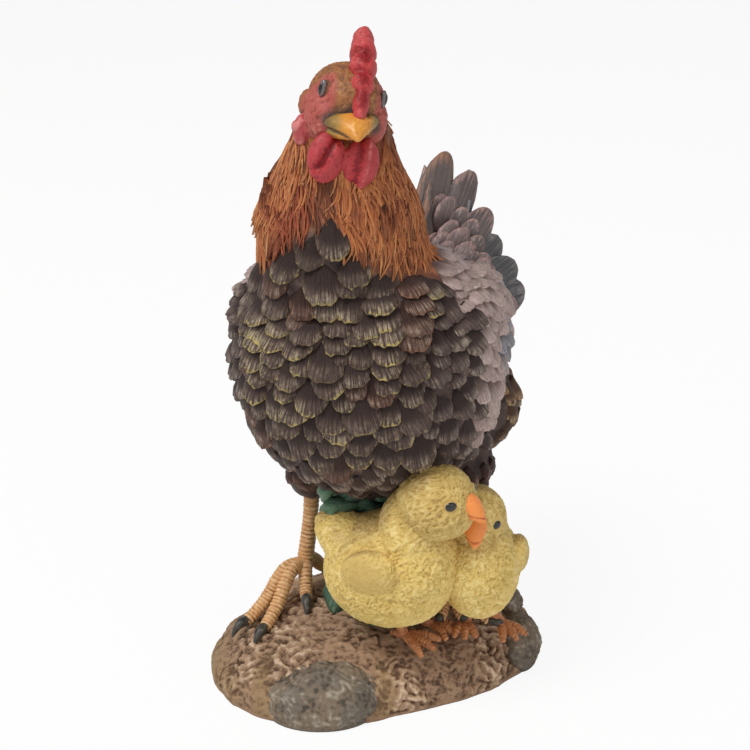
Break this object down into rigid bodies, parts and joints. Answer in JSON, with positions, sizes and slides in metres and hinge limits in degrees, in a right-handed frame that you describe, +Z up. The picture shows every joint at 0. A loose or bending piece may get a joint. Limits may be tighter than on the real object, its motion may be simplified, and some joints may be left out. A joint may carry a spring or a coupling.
{
  "type": "hen figurine",
  "caption": "Free-standing hen figurine with chicks at her feet on a mound of earth, cast in one piece and painted.",
  "frame": {"origin": "middle of the flat underside of the mound, which rests on a table", "axes": "+Z up, the hen faces -Y and her left side, where the chicks stand, is +X"},
  "size_m": [0.1305, 0.1571, 0.2604],
  "materials": {
    "painted_resin": "hand-painted cast resin, satin to matte"
  },
  "bodies": {
    "root": {"hen_figurine": "painted_resin"}
  },
  "joints": []
}
